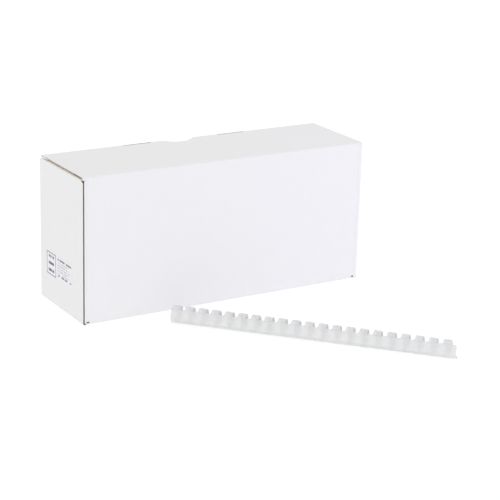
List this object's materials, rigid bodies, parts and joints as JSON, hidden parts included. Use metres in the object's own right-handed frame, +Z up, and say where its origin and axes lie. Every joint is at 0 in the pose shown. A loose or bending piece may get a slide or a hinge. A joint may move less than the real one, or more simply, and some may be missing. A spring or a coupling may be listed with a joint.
{
  "type": "carton of binding combs",
  "caption": "White corrugated tuck-lid carton packed with clear plastic binding combs, with one ring comb taken out and laid in front of it.",
  "frame": {"origin": "centre of the carton's underside, on the surface it stands on", "axes": "+X along the carton's long side and its packed combs, -Y towards the long side where the lid is hinged and the loose comb lies, +Z up"},
  "size_m": [0.3444, 0.3618, 0.1593],
  "materials": {
    "corrugated_board": "matt white liner outside, brown kraft liner inside",
    "label_paper": "smooth matt printed paper",
    "clear_comb_plastic": "milky clear flexible plastic"
  },
  "bodies": {
    "carton": {"bottom_panel": "corrugated_board", "front_wall": "corrugated_board", "rear_wall": "corrugated_board", "left_end_outer": "corrugated_board", "left_front_corner_flap": "corrugated_board", "left_rear_corner_flap": "corrugated_board", "left_end_inner": "corrugated_board", "left_end_top": "corrugated_board", "right_end_outer": "corrugated_board", "right_front_corner_flap": "corrugated_board", "right_rear_corner_flap": "corrugated_board", "right_end_inner": "corrugated_board", "right_end_top": "corrugated_board", "label": "label_paper", "packed_comb_1_1": "clear_comb_plastic", "packed_comb_1_2": "clear_comb_plastic", "packed_comb_1_3": "clear_comb_plastic", "packed_comb_1_4": "clear_comb_plastic", "packed_comb_1_5": "clear_comb_plastic", "packed_comb_2_1": "clear_comb_plastic", "packed_comb_2_2": "clear_comb_plastic", "packed_comb_2_3": "clear_comb_plastic", "packed_comb_2_4": "clear_comb_plastic", "packed_comb_2_5": "clear_comb_plastic", "packed_comb_3_1": "clear_comb_plastic", "packed_comb_3_2": "clear_comb_plastic", "packed_comb_3_3": "clear_comb_plastic", "packed_comb_3_4": "clear_comb_plastic", "packed_comb_3_5": "clear_comb_plastic", "packed_comb_4_1": "clear_comb_plastic", "packed_comb_4_2": "clear_comb_plastic", "packed_comb_4_3": "clear_comb_plastic", "packed_comb_4_4": "clear_comb_plastic", "packed_comb_4_5": "clear_comb_plastic", "packed_comb_5_1": "clear_comb_plastic", "packed_comb_5_2": "clear_comb_plastic", "packed_comb_5_3": "clear_comb_plastic", "packed_comb_5_4": "clear_comb_plastic", "packed_comb_5_5": "clear_comb_plastic", "packed_comb_6_1": "clear_comb_plastic", "packed_comb_6_2": "clear_comb_plastic", "packed_comb_6_3": "clear_comb_plastic", "packed_comb_6_4": "clear_comb_plastic", "packed_comb_6_5": "clear_comb_plastic", "packed_comb_7_1": "clear_comb_plastic", "packed_comb_7_2": "clear_comb_plastic", "packed_comb_7_3": "clear_comb_plastic", "packed_comb_7_4": "clear_comb_plastic"},
    "lid": {"lid": "corrugated_board"},
    "tuck_flap": {"tuck_flap": "corrugated_board"},
    "loose_comb": {"loose_comb_spine": "clear_comb_plastic"},
    "loose_comb_rings": {"loose_comb_fingers": "clear_comb_plastic"}
  },
  "joints": [
    {"name": "lid_hinge", "type": "hinge", "parent": "carton", "child": "lid", "pos_m": [0, -0.05275, 0.15925], "axis": [1, 0, 0], "range_deg": [0, 260]},
    {"name": "tuck_flap_crease", "type": "hinge", "parent": "lid", "child": "tuck_flap", "pos_m": [0, 0.04945, 0.15925], "axis": [1, 0, 0], "range_deg": [0, 80]},
    {"name": "loose_comb_lift", "type": "slide", "parent": "carton", "child": "loose_comb", "axis": [0, 0, 1], "range_m": [0, 0.2]},
    {"name": "rings_open", "type": "hinge", "parent": "loose_comb", "child": "loose_comb_rings", "pos_m": [0.01204, -0.19713, 0.01656], "axis": [0.6807, -0.7325, 0], "range_deg": [0, 75], "stiffness_Nm_per_rad": 0.1}
  ],
  "couplings": [
    {"joint": "tuck_flap_crease", "follows": "lid_hinge", "ratio": 0.3}
  ]
}
